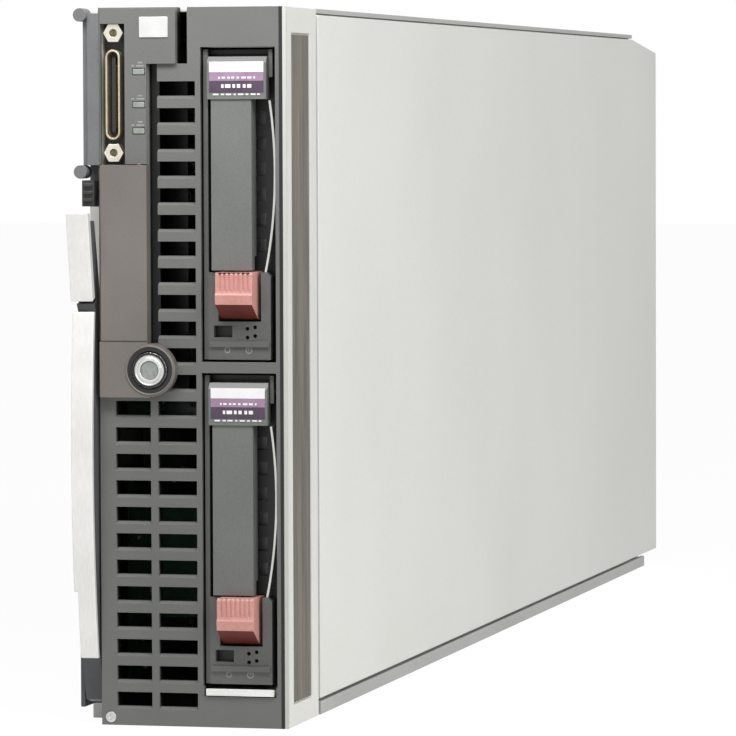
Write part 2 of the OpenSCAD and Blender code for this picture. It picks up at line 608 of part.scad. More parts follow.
// Bowed spring leaf on the right of the carrier's face, rising from the housing's post.
leaf_r = 126;
module ground_spring(z0) translate([block_x[1] + 1.3 - leaf_r, 0, z0 + 47])
    intersection() {
        difference() {
            bar_y(leaf_r, 1.5, tray_y, 0, 0, $fn = 240);
            bar_y(leaf_r - 0.6, 0, tray_y + 1, 0, 0, $fn = 240);
        }
        block([leaf_r - 4, leaf_r + 1], [1, tray_y + 1], [post_top - 47, head_z[0] - 47.3]);
    }
// Ejector: a broad head for the label, hinged at its top, and a flat bar down to the button.
ear_z = [hinge_z - 1.6, hinge_z + 1.6];
head_z = [hinge_z - 8.9, hinge_z + 1.8];
bar_z = button_z[1] + 0.4;
module ejector(z0) difference() {
    union() {
        side_plate(head_x[0], head_x[1] - head_x[0]) polygon([[-0.6, z0 + head_z[0]],
            [3, z0 + head_z[0]], [3, z0 + head_z[1]], [0.6, z0 + head_z[1]],
            [-0.6, z0 + head_z[1] - 1.6]]);
        block([head_x[0], head_x[1]], [2.2, 4.8], [z0 + ear_z[0], z0 + ear_z[1]]);
        block(ejector_x, [-0.2, 2.6], [z0 + bar_z, z0 + head_z[0] + eps]);
        for (x = [ejector_x[0], ejector_x[1] - 1])
            block([x, x + 1], [2.6, 4.4], [z0 + bar_z + 3.5, z0 + head_z[0] + 0.5]);
        block([ejector_x[0] + 2.1, ejector_x[1] - 2.4], [2.6, 5.2], [z0 + bar_z, z0 + bar_z + 1.5]);
    }
    bar_x(hinge_r + 0.05, carrier_x0, carrier_x1, hinge_y, z0 + hinge_z);
}
module ejector_pin(z0) bar_x(hinge_r, carrier_x0, carrier_x1, hinge_y, z0 + hinge_z);
// Release button: a proud ribbed pad with a sloping lower edge on a guided block.
rib_x = (button_x[1] - button_x[0]) / 8;
module drive_button(z0) difference() {
    side_plate(button_x[0], button_x[1] - button_x[0])
        polygon([[-2.6, z0 + 12.8], [-4.6, z0 + 14], [-4.8, z0 + 16.4], [-4.3, z0 + 17.2],
            [-4.4, z0 + 21.6], [-3.9, z0 + button_z[1]], [8.4, z0 + button_z[1]],
            [8.4, z0 + button_z[0]], [1.8, z0 + button_z[0]]]);
    for (i = [1:7])
        block([button_x[0] + i * rib_x - 0.25, button_x[0] + i * rib_x + 0.25], [-6, -4],
            [z0 + 17.4, z0 + button_z[1] + 1]);
}
module carrier_1() color("#5a5a5a") seat() carrier(carrier_z[0]);
module carrier_2() color("#5a5a5a") seat() carrier(carrier_z[1]);
module disk_1() color("silver") seat() disk(carrier_z[0]);
module disk_2() color("silver") seat() disk(carrier_z[1]);
module ground_spring_1() color("#d8d8d6") seat() ground_spring(carrier_z[0]);
module ground_spring_2() color("#d8d8d6") seat() ground_spring(carrier_z[1]);
module ejector_1() color("#7d7f7e") seat() ejector(carrier_z[0]);
module ejector_2() color("#7d7f7e") seat() ejector(carrier_z[1]);
module ejector_pin_1() color("silver") seat() ejector_pin(carrier_z[0]);
module ejector_pin_2() color("silver") seat() ejector_pin(carrier_z[1]);
module drive_button_1() color("#d9a09a") seat() drive_button(carrier_z[0]);
module drive_button_2() color("#d9a09a") seat() drive_button(carrier_z[1]);

// System board on its standoffs.
module system_board() color("#1f5b3a") seat() difference() {
    block([board_x, top_x], [board_y0, board_y1], board_z);
    for (p = stand_pts) bar_x(1.6, board_x - 1, top_x + 1, p[0], p[1]);
    block([board_x - 1, top_x + 1], [board_y0 - 1, board_y0 + 20], [60, 76]);
    block([board_x - 1, top_x + 1], [board_y1 - 10, board_y1 + 1], [150, board_z[1] + 1]);
}
module standoffs() color("#c8b27a") seat() for (p = stand_pts) difference() {
    bar_x(3, wall_x, board_x, p[0], p[1]);
    bar_x(1.5, board_x - 3, board_x + 1, p[0], p[1]);
}

// Processor sockets with their load frames, the processors and their finned heat sinks.
module processor_sockets() color("#d6d0c0") seat() for (c = cpu) difference() {
    block([top_x, top_x + socket_h], [c[0] - 27, c[0] + 27], [c[1] - 25, c[1] + 25]);
    block([top_x + 1.4, top_x + socket_h + 1], [c[0] - 21.4, c[0] + 21.4],
        [c[1] - 21.4, c[1] + 21.4]);
}
module processors() color("#b9babc") seat() for (c = cpu) {
    block([top_x + 1.4, top_x + socket_h], [c[0] - 21.2, c[0] + 21.2], [c[1] - 21.2, c[1] + 21.2]);
    block([top_x + socket_h, sink_x], [c[0] - 17, c[0] + 17], [c[1] - 17, c[1] + 17]);
}
module heat_sink(c) {
    fin_step = (sink_w - fin_t) / (fin_n - 1);
    z0 = c[1] - sink_w / 2;
    difference() {
        block([sink_x, sink_x + sink_base], [c[0] - sink_l / 2, c[0] + sink_l / 2],
            [z0, z0 + sink_w]);
        for (y = [-38, 38], z = [-33, 33])
            bar_x(2.2, sink_x - 1, sink_x + sink_base + 1, c[0] + y, c[1] + z);
    }
    for (i = [0:fin_n - 1]) {
        cut = (i * fin_step < 12 || i * fin_step > sink_w - 12) ? 12 : 0;
        block([sink_x + sink_base - eps, fin_top], [c[0] - sink_l / 2 + cut,
            c[0] + sink_l / 2 - cut], [z0 + i * fin_step, z0 + i * fin_step + fin_t]);
    }
}
module heat_sink_1() color("#c4c6c8") seat() heat_sink(cpu[0]);
module heat_sink_2() color("#c4c6c8") seat() heat_sink(cpu[1]);

// Two banks of memory sockets, with a module in each.
module memory_sockets() color("#2c2c30") seat() for (b = bank, i = [0:module_n - 1]) {
    z = b[1] + i * module_pitch;
    difference() {
        union() {
            block([top_x, top_x + 7], [b[0], b[0] + module_l + 8], [z - 3.2, z + 3.2]);
            for (y = [b[0], b[0] + module_l + 4.6])
                block([top_x + 7 - eps, top_x + 20], [y, y + 3.4], [z - 2.4, z + 2.4]);
        }
        block([top_x + 1.6, top_x + 24], [b[0] + 3.9, b[0] + module_l + 4.1], [z - 0.8, z + 0.8]);
    }
}
module memory_modules() color("#2d6a45") seat() for (b = bank, i = [0:module_n - 1]) {
    z = b[1] + i * module_pitch;
    block([top_x + 1.6, top_x + module_h], [b[0] + 4, b[0] + module_l + 4], [z - 0.6, z + 0.6]);
    for (side = [-1, 1])
        block([top_x + 11, top_x + module_h - 4], [b[0] + 9, b[0] + module_l - 1],
            [z + side * 1.15 - 0.56, z + side * 1.15 + 0.56]);
}

// Moulded air baffle over the upper memory bank, open at both ends for the airflow.
module air_baffle() color("#3a3d42") seat() {
    y = [bank[0][0] + 12, bank[0][0] + module_l - 4];
    z = [bank[0][1] - 6.2, bank[0][1] + (module_n - 1) * module_pitch + 6.2];
    x1 = top_x + module_h + 4;
    difference() {
        block([top_x, x1], y, z);
        block([top_x - 1, x1 - 1.4], [y[0] - 1, y[1] + 1], [z[0] + 1.4, z[1] - 1.4]);
        for (i = [0:3])
            block([x1 - 3, x1 + 1], [y[0] + 12 + i * 28, y[0] + 28 + i * 28], [z[0] + 14, z[1] - 14]);
    }
}
module chipset_heat_sink() color("#9fa3a8") seat() translate([top_x, 72, upper_z + 8]) {
    block([0, 4], [-18, 18], [-18, 18]);
    for (i = [0:8]) block([4 - eps, 16], [-18, 18], [-18 + i * 4.35, -16.8 + i * 4.35]);
}
// Supply parts in front of each processor.
module inductors() color("#5b5d60") seat() for (c = cpu, i = [-2:2])
    block([top_x, top_x + 7], [c[0] - sink_l / 2 - vrm_l + 1, c[0] - sink_l / 2 - vrm_l + 11],
        [c[1] + i * 7.2 - 3, c[1] + i * 7.2 + 3]);
module capacitors() color("#3b4252") seat() for (c = cpu, i = [-2:2])
    bar_x(3.4, top_x, top_x + 9, c[0] - sink_l / 2 - 5, c[1] + i * 7.2);
// Mezzanine cards on their stacking connectors, one above the other at the rear.
mezzanine_z = [12, top_z - 83.7];
module mezzanine_sockets() color("#26262a") seat() for (z = mezzanine_z)
    block([top_x, card_x], [rear_y - 52, rear_y - 44], [z + 8, z + 62]);
module mezzanine_cards() color("#1c5a48") seat() for (z = mezzanine_z) {
    block([card_x, card_x + board_t], [tail_y + 3, rear_y - 27], [z, z + 76]);
    block([card_x + board_t, card_x + board_t + 3], [tail_y + 12, tail_y + 34],
        [z + 24, z + 46]);
    block([card_x + board_t, card_x + board_t + 8], [tail_y + 40, tail_y + 45],
        [z + 12, z + 40]);
}
module cache_module() color("#20603f") seat() {
    block([top_x, top_x + 6], [60, 112], [96, 102]);
    block([top_x + 6, top_x + 22], [56, 116], [98.4, 99.6]);
    block([top_x, top_x + 14], [56, 108], [22, 54]);
}
module coin_cell() color("#c7c9cb") seat() {
    bar_x(10, top_x, top_x + 1.2, 100, 76);
    bar_x(9.8, top_x + 1.2, top_x + 4.4, 100, 76);
}

// Rear connectors: high-speed signal block, power block and the cast guide housing.
rear_x = [top_x, top_x + 26];
foot_y = [rear_y - 40, rear_y - 23];
module signal_connector() color("#2a2a2d") seat() difference() {
    union() {
        block(rear_x, [rear_y - 23, rear_y - 0.5], [58, 112]);
        block([top_x, top_x + 8], foot_y, [60, 110]);
    }
    for (i = [0:8], j = [0:3])
        block([rear_x[0] + 2.6 + j * 5.8, rear_x[0] + 5.8 + j * 5.8], [rear_y - 10, rear_y + 1],
            [60.6 + i * 5.6, 64 + i * 5.6]);
}
module power_connector() color("#303033") seat() difference() {
    union() {
        block([rear_x[0], rear_x[1] - 8], [rear_y - 23, rear_y - 0.5], [14, 38]);
        block([top_x, top_x + 8], foot_y, [16, 36]);
    }
    for (i = [0:2])
        block([rear_x[0] + 3, rear_x[1] - 11], [rear_y - 14, rear_y + 1], [17 + i * 7, 20.4 + i * 7]);
}
guide_z = [48, 122];
guide_x = top_x + 9;
module guide_housing() color("#a9abae") seat() difference() {
    for (z = guide_z) {
        block([top_x, top_x + 18], [rear_y - 23, rear_y - 0.5], [z - 8, z + 8]);
        block([top_x, top_x + 4], foot_y, [z - 7, z + 7]);
    }
    for (z = guide_z) {
        bar_y(guide_r, rear_y - 0.5 - guide_l, rear_y + 1, guide_x, z);
        translate([guide_x, rear_y - 0.5, z]) rotate([90, 0, 0])
            translate([0, 0, -eps]) cylinder(r1 = guide_r + 1, r2 = guide_r, h = 1 + eps);
    }
}

chassis_pan();
front_frame();
emi_gasket();
front_bezel();
button_plate();
left_trim();
access_panel();
panel_latch();
chassis_rivets();
panel_screws();
io_connector_body();
io_connector_shell();
io_jack_sockets();
front_board();
light_pipes();
power_button();
power_lens();
lever_bracket();
release_lever();
lever_strip();
lever_pin();
latch_button();
pull_tab();
drive_cage();
drive_backplane();
backplane_sockets();
carrier_1();
disk_1();
ground_spring_1();
ejector_1();
ejector_pin_1();
drive_button_1();
carrier_2();
disk_2();
ground_spring_2();
ejector_2();
ejector_pin_2();
drive_button_2();
system_board();
standoffs();
processor_sockets();
processors();
heat_sink_1();
heat_sink_2();
memory_sockets();
memory_modules();
air_baffle();
chipset_heat_sink();
inductors();
capacitors();
mezzanine_sockets();
mezzanine_cards();
cache_module();
coin_cell();
signal_connector();
power_connector();
guide_housing();
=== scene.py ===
"""A half-height blade server standing on its edge: looks, light and camera round the CAD part."""

import math
import random

import bmesh
import bpy
from mathutils import Matrix, Vector


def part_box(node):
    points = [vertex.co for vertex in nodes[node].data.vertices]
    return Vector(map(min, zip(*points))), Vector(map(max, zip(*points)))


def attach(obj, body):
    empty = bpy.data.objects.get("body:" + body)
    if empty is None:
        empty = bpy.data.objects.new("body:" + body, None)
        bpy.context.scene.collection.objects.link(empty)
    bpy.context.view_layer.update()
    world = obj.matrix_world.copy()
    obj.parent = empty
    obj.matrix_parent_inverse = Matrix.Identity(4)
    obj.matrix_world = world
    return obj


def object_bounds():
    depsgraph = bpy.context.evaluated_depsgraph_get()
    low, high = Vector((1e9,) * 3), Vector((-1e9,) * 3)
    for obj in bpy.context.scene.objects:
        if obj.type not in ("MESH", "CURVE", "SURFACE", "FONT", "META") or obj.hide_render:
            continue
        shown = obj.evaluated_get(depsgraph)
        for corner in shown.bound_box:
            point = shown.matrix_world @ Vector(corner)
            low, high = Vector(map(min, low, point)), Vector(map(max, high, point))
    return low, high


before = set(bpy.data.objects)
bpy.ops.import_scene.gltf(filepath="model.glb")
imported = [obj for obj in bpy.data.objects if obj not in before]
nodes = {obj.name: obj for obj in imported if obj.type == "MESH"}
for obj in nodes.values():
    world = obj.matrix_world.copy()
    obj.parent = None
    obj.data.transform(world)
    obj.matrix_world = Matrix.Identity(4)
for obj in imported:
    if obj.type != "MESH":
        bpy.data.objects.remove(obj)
cad_box = [list(corner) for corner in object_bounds()]

# ---------------------------------------------------------------------------------------------
# Studio: a pale seamless floor, a white surround, and soft lamps like those of a catalogue
# table. One large lamp faces the access panel, and one hangs close above the front face.
# ---------------------------------------------------------------------------------------------
MM = 0.001


def linear(hex_colour):
    """An sRGB hex colour as the linear RGBA that a shader takes."""
    channels = [int(hex_colour[i : i + 2], 16) / 255 for i in (1, 3, 5)]
    return [c / 12.92 if c <= 0.04045 else ((c + 0.055) / 1.055) ** 2.4 for c in channels] + [1.0]


def add(tree, kind, inputs=None, **settings):
    """Adds one node to a tree, with its settings, its input values and its input links."""
    node = tree.nodes.new(kind)
    for name, value in settings.items():
        setattr(node, name, value)
    for name, value in (inputs or {}).items():
        socket = node.inputs[name]
        if isinstance(value, bpy.types.NodeSocket):
            tree.links.new(value, socket)
        else:
            socket.default_value = value
    return node


def seen_directly(tree, rays):
    """One for what the camera or a reflection sees, and nought for the light that things get."""
    return add(tree, "ShaderNodeMath", {0: rays.outputs["Is Camera Ray"],
        1: rays.outputs["Is Glossy Ray"]}, operation="MAXIMUM").outputs[0]


WHITE = (1, 1, 1, 1)
floor_reach = 6
floor_corners = [(x * floor_reach, y * floor_reach, 0)
    for x, y in ((-1, -1), (1, -1), (1, 1), (-1, 1))]
floor_mesh = bpy.data.meshes.new("studio_floor")
floor_mesh.from_pydata(floor_corners, [], [(0, 1, 2, 3)])
floor = bpy.data.objects.new("studio_floor", floor_mesh)
bpy.context.scene.collection.objects.link(floor)
floor.location.z = cad_box[0][2] - 0.1 * MM

floor_paper = bpy.data.materials.new("seamless_white_paper")
floor_paper.use_nodes = True
tree = floor_paper.node_tree
paper = tree.nodes["Principled BSDF"]
paper.inputs["Base Color"].default_value = linear("#f4f4f2")
paper.inputs["Roughness"].default_value = 0.9
# Most of what is seen of the paper glows, and the small rest takes the object's shadow.
glow_share = 0.93
rays = add(tree, "ShaderNodeLightPath")
glow = add(tree, "ShaderNodeEmission", {"Color": WHITE, "Strength": 1.03})
share = add(tree, "ShaderNodeMath", {0: seen_directly(tree, rays), 1: glow_share},
    operation="MULTIPLY")
mixed = add(tree, "ShaderNodeMixShader", {0: share.outputs[0], 1: paper.outputs[0],
    2: glow.outputs[0]})
tree.links.new(mixed.outputs[0], tree.nodes["Material Output"].inputs["Surface"])
floor_mesh.materials.append(floor_paper)

world = bpy.data.worlds.new("white_studio")
bpy.context.scene.world = world
world.use_nodes = True
tree = world.node_tree
tree.nodes.clear()
rays = add(tree, "ShaderNodeLightPath")
seen = add(tree, "ShaderNodeMath", {0: seen_directly(tree, rays),
    1: rays.outputs["Is Transmission Ray"]}, operation="MAXIMUM")
dim = add(tree, "ShaderNodeBackground", {"Color": WHITE, "Strength": 0.11})
white = add(tree, "ShaderNodeBackground", {"Color": WHITE, "Strength": 1.0})
mixed = add(tree, "ShaderNodeMixShader", {0: seen.outputs[0], 1: dim.outputs[0],
    2: white.outputs[0]})
add(tree, "ShaderNodeOutputWorld", {"Surface": mixed.outputs[0]})


def soft_lamp(name, size, power, place, aim):
    """A rectangular soft box at a place, turned towards an aim."""
    data = bpy.data.lights.new(name, "AREA")
    data.shape = "RECTANGLE"
    data.size, data.size_y = size
    data.energy = power
    lamp = bpy.data.objects.new(name, data)
    bpy.context.scene.collection.objects.link(lamp)
    lamp.location = place
    lamp.rotation_euler = (Vector(aim) - Vector(place)).to_track_quat("-Z", "Y").to_euler()
    lamp.visible_camera = False


panel_middle = sum((Vector(c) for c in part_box("access_panel")), Vector()) / 2
front_top = Vector((0, cad_box[0][1], cad_box[1][2]))
front_aim = front_top - Vector((0, 0, 0.03))
soft_lamp("panel_soft_box", (1.0, 1.0), 16, (1.25, -0.68, 0.95), panel_middle)
soft_lamp("front_soft_box", (0.26, 0.10), 0.95, (0.0, -0.40, 0.345), front_aim)

scene = bpy.context.scene
scene.view_settings.view_transform = "Standard"
camera_data = bpy.data.cameras.new("camera")
camera_data.lens = 251.98
camera_data.sensor_width = 36
camera = bpy.data.objects.new("camera", camera_data)
scene.collection.objects.link(camera)
scene.camera = camera
camera_place = (0.3517, -1.5058, 0.1527)
camera_turn, camera_dip, camera_roll = (math.radians(a) for a in (13.625, 2.736, -0.21))
look = Vector((-math.sin(camera_turn) * math.cos(camera_dip),
    math.cos(camera_turn) * math.cos(camera_dip), -math.sin(camera_dip)))
across = Vector((math.cos(camera_turn), math.sin(camera_turn), 0))
upward = across.cross(look)
rolled = Matrix.Rotation(camera_roll, 3, -look)
camera.matrix_world = Matrix.Translation(camera_place) @ Matrix(
    (rolled @ across, rolled @ upward, -look)).transposed().to_4x4()

# ---------------------------------------------------------------------------------------------
# Chassis pan, front frame and drive cage: zinc-plated steel sheet of 1 to 1.2 mm, laser-cut and
# folded with rounded bends. The frame's plating is a pale satin grey with a faint cloudy spangle,
# and the pan's and the cage's is duller.
# ---------------------------------------------------------------------------------------------


def finish(name, colour, roughness, metallic=0.0):
    """A material with one Principled shader, and the object's coordinates to draw patterns in."""
    material = bpy.data.materials.new(name)
    material.use_nodes = True
    tree = material.node_tree
    shader = tree.nodes["Principled BSDF"]
    shader.inputs["Base Color"].default_value = linear(colour)
    shader.inputs["Roughness"].default_value = roughness
    shader.inputs["Metallic"].default_value = metallic
    place = add(tree, "ShaderNodeTexCoord").outputs["Object"]
    return material, tree, shader, place


def per_mm(size_mm):
    """The scale that repeats a pattern once in that many millimetres."""
    return 1000 / size_mm


def grained(tree, shader, place, dark, light, grain_mm, depth_mm, cloud_mm=40, stretch=(1, 1, 1)):
    """A fine grain in the surface, and a slow drift of its colour from dark to light."""
    spread = add(tree, "ShaderNodeMapping", {"Vector": place, "Scale": stretch}).outputs[0]
    fine = add(tree, "ShaderNodeTexNoise", {"Vector": spread, "Scale": per_mm(grain_mm),
        "Detail": 3.0})
    cloud = add(tree, "ShaderNodeTexNoise", {"Vector": place, "Scale": per_mm(cloud_mm),
        "Detail": 2.0})
    both = add(tree, "ShaderNodeMix", {0: 0.5, 2: fine.outputs[0], 3: cloud.outputs[0]},
        data_type="FLOAT")
    ramp = add(tree, "ShaderNodeMapRange", {0: both.outputs[0], 1: 0.35, 2: 0.65})
    tint = add(tree, "ShaderNodeMix", {0: ramp.outputs[0], 6: linear(dark), 7: linear(light)},
        data_type="RGBA")
    tree.links.new(tint.outputs[2], shader.inputs["Base Color"])
    bump = add(tree, "ShaderNodeBump", {"Height": fine.outputs[0], "Distance": depth_mm * MM,
        "Strength": 1.0})
    tree.links.new(bump.outputs[0], shader.inputs["Normal"])
    return bump


def dress(node, material, edge_mm=0.2, segments=2):
    """Gives a CAD node its material, and its edges the small radius that making leaves."""
    piece = nodes[node]
    piece.data.materials.clear()
    piece.data.materials.append(material)
    if edge_mm:
        round_edges(piece, edge_mm, segments)
    return piece


def round_edges(piece, edge_mm, segments=2):
    """Joins the faces of a mesh into true flats, then rounds the edges between them."""
    weld = piece.modifiers.new("joined_faces", "WELD")
    weld.merge_threshold = 0.001 * MM
    flats = piece.modifiers.new("true_flats", "DECIMATE")
    flats.decimate_type = "DISSOLVE"
    flats.angle_limit = math.radians(0.4)
    bevel = piece.modifiers.new("edge_radius", "BEVEL")
    bevel.width = edge_mm * MM
    bevel.segments = segments
    bevel.limit_method = "ANGLE"
    bevel.angle_limit = math.radians(35)
    bevel.use_clamp_overlap = True
    bevel.harden_normals = False
    even = piece.modifiers.new("even_shading", "WEIGHTED_NORMAL")
    even.keep_sharp = False
    even.weight = 50


zinc_steel, tree, shader, place = finish("zinc_plated_steel", "#d6d6d1", 0.42, 0.15)
grained(tree, shader, place, "#cfcfca", "#dddcd7", 0.5, 0.002, 60)
dress("front_frame", zinc_steel, 0.25)

pan_steel, tree, shader, place = finish("dull_zinc_plated_steel", "#a2a3a0", 0.42, 0.3)
grained(tree, shader, place, "#989996", "#acadaa", 0.5, 0.002, 60)
dress("chassis_pan", pan_steel, 0.25)

cage_steel, tree, shader, place = finish("bare_zinc_steel", "#9b9c9b", 0.35, 0.8)
grained(tree, shader, place, "#8f908f", "#a8a9a8", 0.6, 0.002, 25)
dress("drive_cage", cage_steel, 0.15)

# ---------------------------------------------------------------------------------------------
# Conductive gasket in the frame's joggle: silver-coated nylon cloth over foam ribs. The plating
# dulls to a greenish brown, and the cloth's weave shows as fine cross threads.
# ---------------------------------------------------------------------------------------------
thread_mm = 0.45
gasket_cloth, tree, shader, place = finish("silvered_nylon_cloth", "#6d6963", 0.5, 0.45)
axes = add(tree, "ShaderNodeSeparateXYZ", {0: place})
threads = []
for axis in ("Y", "Z"):
    turn = add(tree, "ShaderNodeMath", {0: axes.outputs[axis], 1: 2 * math.pi * per_mm(thread_mm)},
        operation="MULTIPLY")
    threads.append(add(tree, "ShaderNodeMath", {0: turn.outputs[0]}, operation="SINE").outputs[0])
weave = add(tree, "ShaderNodeMath", {0: threads[0], 1: threads[1]}, operation="MULTIPLY")
stain = add(tree, "ShaderNodeTexNoise", {"Vector": add(tree, "ShaderNodeMapping",
    {"Vector": place, "Scale": (1, 1, 0.06)}).outputs[0], "Scale": per_mm(3.2), "Detail": 2.0})
stain = add(tree, "ShaderNodeMapRange", {0: stain.outputs[0], 1: 0.35, 2: 0.65})
tint = add(tree, "ShaderNodeMix", {0: stain.outputs[0], 6: linear("#5f5c57"),
    7: linear("#787369")}, data_type="RGBA")
tree.links.new(tint.outputs[2], shader.inputs["Base Color"])
bump = add(tree, "ShaderNodeBump", {"Height": weave.outputs[0], "Distance": 0.03 * MM,
    "Strength": 0.7})
tree.links.new(bump.outputs[0], shader.inputs["Normal"])
dress("emi_gasket", gasket_cloth, 0)

# ---------------------------------------------------------------------------------------------
# Rivets, screws, hinge pins and other bought fasteners: cold-headed steel with bright nickel
# plating, turned marks too fine to see, and slightly softened edges.
# ---------------------------------------------------------------------------------------------
bright_steel, tree, shader, place = finish("bright_plated_steel", "#c8c8c6", 0.24, 1.0)
grained(tree, shader, place, "#bdbdbb", "#d2d2d0", 0.3, 0.001, 6)
for node in ("chassis_rivets", "panel_screws", "lever_pin", "ejector_pin_1", "ejector_pin_2"):
    dress(node, bright_steel, 0.06)

# ---------------------------------------------------------------------------------------------
# Front moulding: injection-moulded PC/ABS in metallic dark grey. The tool is spark-eroded, so
# the surface has a fine even grain of about a third of a millimetre, and small edge radii.
# ---------------------------------------------------------------------------------------------


def recoloured(tree, shader, share, colour):
    """Lays a colour over a finish where a share says so."""
    base = shader.inputs["Base Color"]
    over = add(tree, "ShaderNodeMix", {0: share, 6: base.links[0].from_socket, 7: linear(colour)},
        data_type="RGBA")
    tree.links.new(over.outputs[2], base)


def painted_depth_shade(tree, shader, place, start_y, start_mm, end_mm, colour):
    """Paints shade: darkens what lies deep behind a front, as the shade in a narrow gap would."""
    axes = add(tree, "ShaderNodeSeparateXYZ", {0: place})
    share = add(tree, "ShaderNodeMapRange", {0: axes.outputs["Y"], 1: start_y + start_mm * MM,
        2: start_y + end_mm * MM})
    recoloured(tree, shader, share.outputs[0], colour)


front_grey, tree, shader, place = finish("moulded_dark_grey_abs", "#686966", 0.46)
grained(tree, shader, place, "#616260", "#6f706d", 0.35, 0.006, 30)
dress("front_bezel", front_grey, 0.22)
# Painted shade: faces 0.7 to 1.5 mm and more behind the button plate fade to near-black, as shade
# in the slots and grooves.
painted_depth_shade(tree, shader, place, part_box("button_plate")[1].y, 0.7, 1.5, "#0c0c0c")
# A near-black band 1 to 1.9 mm in from the right edge is painted shade for the seam where the
# moulding ends at the frame; the last millimetre is plated like the frame.
for edge_mm, colour in ((1.9, "#141414"), (0.95, "#c2c2bd")):
    axes = add(tree, "ShaderNodeSeparateXYZ", {0: place})
    share = add(tree, "ShaderNodeMath", {0: axes.outputs["X"], 1: cad_box[1][0] - edge_mm * MM},
        operation="GREATER_THAN")
    recoloured(tree, shader, share.outputs[0], colour)

# A bare plate fills the place above the slots that such servers keep for a badge.
bezel_low, bezel_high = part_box("front_bezel")
brow_y = bezel_low.y


def plate_blocks(name, boxes, material, body, edge_mm=0.1, segments=2):
    """One piece of rectangular blocks, given by their lowest and highest corners in metres."""
    mesh = bmesh.new()
    for low, high in boxes:
        size = Vector(high) - Vector(low)
        middle = (Vector(high) + Vector(low)) / 2
        bmesh.ops.create_cube(mesh, size=1, matrix=Matrix.LocRotScale(middle, None, size))
    data = bpy.data.meshes.new(name)
    mesh.to_mesh(data)
    mesh.free()
    piece = bpy.data.objects.new(name, data)
    scene.collection.objects.link(piece)
    data.materials.append(material)
    if edge_mm:
        bevel = piece.modifiers.new("edge_radius", "BEVEL")
        bevel.width = edge_mm * MM
        bevel.segments = segments
        even = piece.modifiers.new("even_shading", "WEIGHTED_NORMAL")
        even.weight = 50
    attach(piece, body)
    return piece


badge_plate, tree, shader, place = finish("anodised_badge_plate", "#d9dad8", 0.3, 0.4)
grained(tree, shader, place, "#cfd0ce", "#e2e3e1", 0.25, 0.002, 8)
badge_proud, badge_sunk = 0.3 * MM, 0.2 * MM
badge_x = [bezel_low.x + 11.1 * MM, bezel_low.x + 18.6 * MM]
badge_z = [bezel_high.z - 7.6 * MM, bezel_high.z - 2.4 * MM]
plate_blocks("badge_plate", [((badge_x[0], brow_y - badge_proud, badge_z[0]),
    (badge_x[1], brow_y + badge_sunk, badge_z[1]))], badge_plate, "chassis",
    0.15, 3)

# Status marks: small generic shapes printed in grey ink beside the light pipes.
pale_ink, tree, shader, place = finish("pale_screen_ink", "#8f918d", 0.6)
grained(tree, shader, place, "#858783", "#999b97", 0.2, 0.001, 3)


def printed_marks(name, outlines, y, material, body, thick_mm=0.04):
    """Thin printed shapes on a face towards -Y, each an outline of points in X and Z."""
    mesh = bmesh.new()
    for outline in outlines:
        front = [mesh.verts.new((x, y - thick_mm * MM, z)) for x, z in outline]
        back = [mesh.verts.new((x, y + thick_mm * MM, z)) for x, z in outline]
        mesh.faces.new(front)
        mesh.faces.new(back[::-1])
        for i, corner in enumerate(front):
            j = (i + 1) % len(front)
            mesh.faces.new((corner, back[i], back[j], front[j]))
    bmesh.ops.recalc_face_normals(mesh, faces=mesh.faces)
    data = bpy.data.meshes.new(name)
    mesh.to_mesh(data)
    mesh.free()
    piece = bpy.data.objects.new(name, data)
    scene.collection.objects.link(piece)
    data.materials.append(material)
    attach(piece, body)
    return piece


def bar_mark(x0, x1, z0, z1):
    """A short printed bar."""
    return [(x0, z0), (x1, z0), (x1, z1), (x0, z1)]


def ring_marks(x, z, radius, width, parts=20):
    """A printed ring as a run of short outlines."""
    turns = [2 * math.pi * i / parts for i in range(parts + 1)]
    points = [(math.cos(turn), math.sin(turn)) for turn in turns]
    inner = radius - width
    return [[(x + radius * c0, z + radius * s0), (x + radius * c1, z + radius * s1),
        (x + inner * c1, z + inner * s1), (x + inner * c0, z + inner * s0)]
        for (c0, s0), (c1, s1) in zip(points, points[1:])]


pipe_low, pipe_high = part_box("light_pipes")
pipe_x = (pipe_low.x + pipe_high.x) / 2
pipe_half = 0.7 * MM
middle_pipe = pipe_high.z - 9 * MM
icon_bars = (  # left and right end, lower and upper edge, in mm from the middle of a light pipe
    (-1.9, -1.2, 1.3, 1.7), (-0.6, 1.4, 1.3, 1.7), (-0.2, 1.0, 2.1, 2.5))
marks = []
for z in (pipe_high.z - pipe_half, middle_pipe, pipe_low.z + pipe_half):
    for left, right, lower, upper in icon_bars:
        marks.append(bar_mark(pipe_x + left * MM, pipe_x + right * MM, z + lower * MM,
            z + upper * MM))
lowest_mark = pipe_low.z - 8.6 * MM
stroke_half, stroke_tall = 0.15 * MM, 1.2 * MM
marks += ring_marks(pipe_x, lowest_mark, 0.9 * MM, 0.3 * MM)
marks.append(bar_mark(pipe_x - stroke_half, pipe_x + stroke_half, lowest_mark,
    lowest_mark + stroke_tall))
printed_marks("status_marks", marks, brow_y, pale_ink, "chassis")

# ---------------------------------------------------------------------------------------------
# Button plate: a flat moulding painted warm metallic grey-brown. Fine aluminium flake in the
# paint gives a slight sparkle, and the paint softens its edges.
# ---------------------------------------------------------------------------------------------
plate_paint, tree, shader, place = finish("warm_metallic_paint", "#746f6b", 0.4, 0.25)
grained(tree, shader, place, "#6d6864", "#7b7671", 0.22, 0.003, 18)
button_plate = dress("button_plate", plate_paint, 0.25, 3)


def second_finish(piece, material, chosen):
    """Gives a second material to the faces that a test on their middle and normal picks."""
    piece.data.materials.append(material)
    for face in piece.data.polygons:
        if chosen(face.center, face.normal):
            face.material_index = len(piece.data.materials) - 1
    for step in piece.modifiers:
        if step.type == "DECIMATE":
            step.delimit = {"NORMAL", "MATERIAL"}
